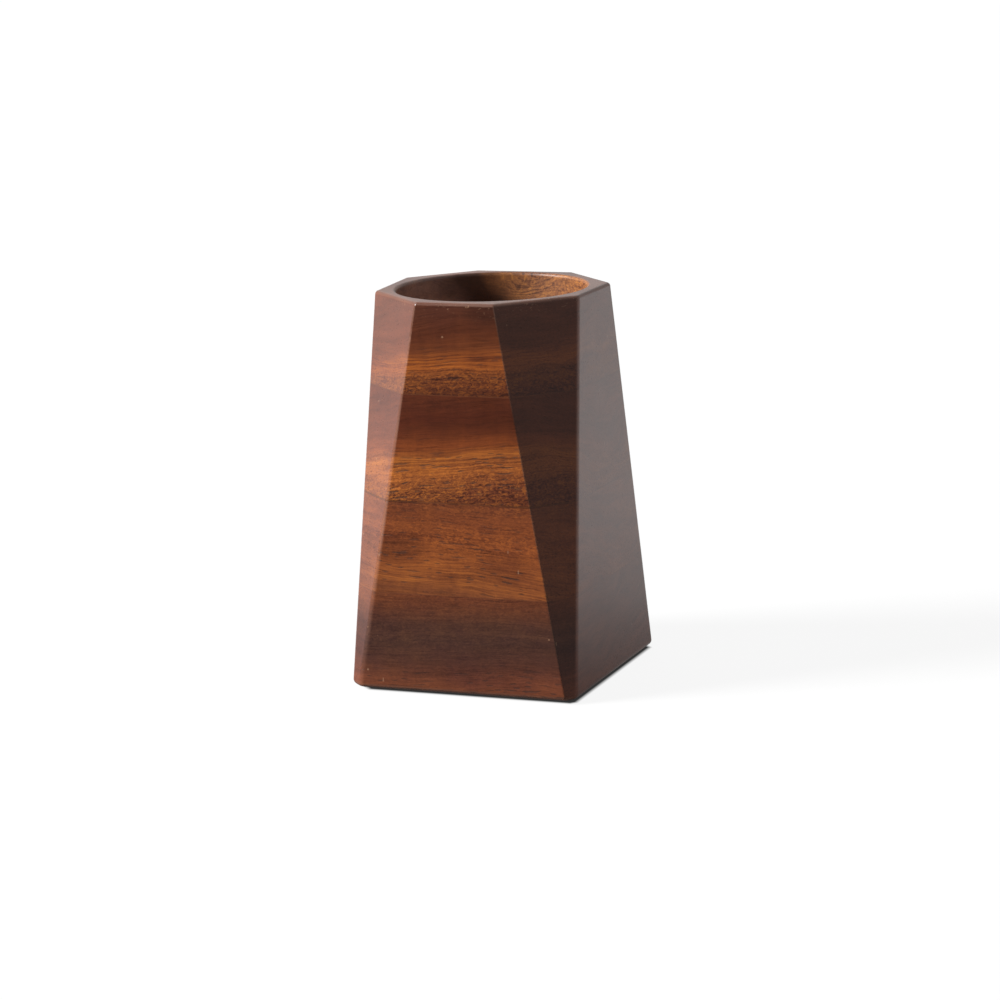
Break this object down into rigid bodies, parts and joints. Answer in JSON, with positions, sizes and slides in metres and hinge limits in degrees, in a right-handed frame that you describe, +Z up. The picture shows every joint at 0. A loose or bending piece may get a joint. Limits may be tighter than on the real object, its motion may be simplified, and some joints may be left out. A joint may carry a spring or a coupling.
{
  "type": "pen holder",
  "caption": "Faceted wooden pen holder: glued acacia boards bored from the top, on a square foot that turns into an octagonal rim, standing on felt pads.",
  "frame": {"origin": "on the desk, under the middle of the holder, on the bore's axis", "axes": "+Z up along the bore, +X to the right, -Y towards the front facet"},
  "size_m": [0.0721, 0.0701, 0.111],
  "materials": {
    "base_wood": "oiled, satin",
    "lower_wood": "oiled, satin",
    "upper_wood": "oiled, satin",
    "rim_wood": "oiled, satin",
    "wood_glue": "cured glue, sanded flush",
    "felt": "pressed wool felt"
  },
  "bodies": {
    "root": {"base_board": "base_wood", "lower_board": "lower_wood", "upper_board": "upper_wood", "rim_board": "rim_wood", "glue_base_to_lower": "wood_glue", "glue_lower_to_upper": "wood_glue", "glue_upper_to_rim": "wood_glue", "felt_pad_front_left": "felt", "felt_pad_front_right": "felt", "felt_pad_back_right": "felt", "felt_pad_back_left": "felt"}
  },
  "joints": []
}
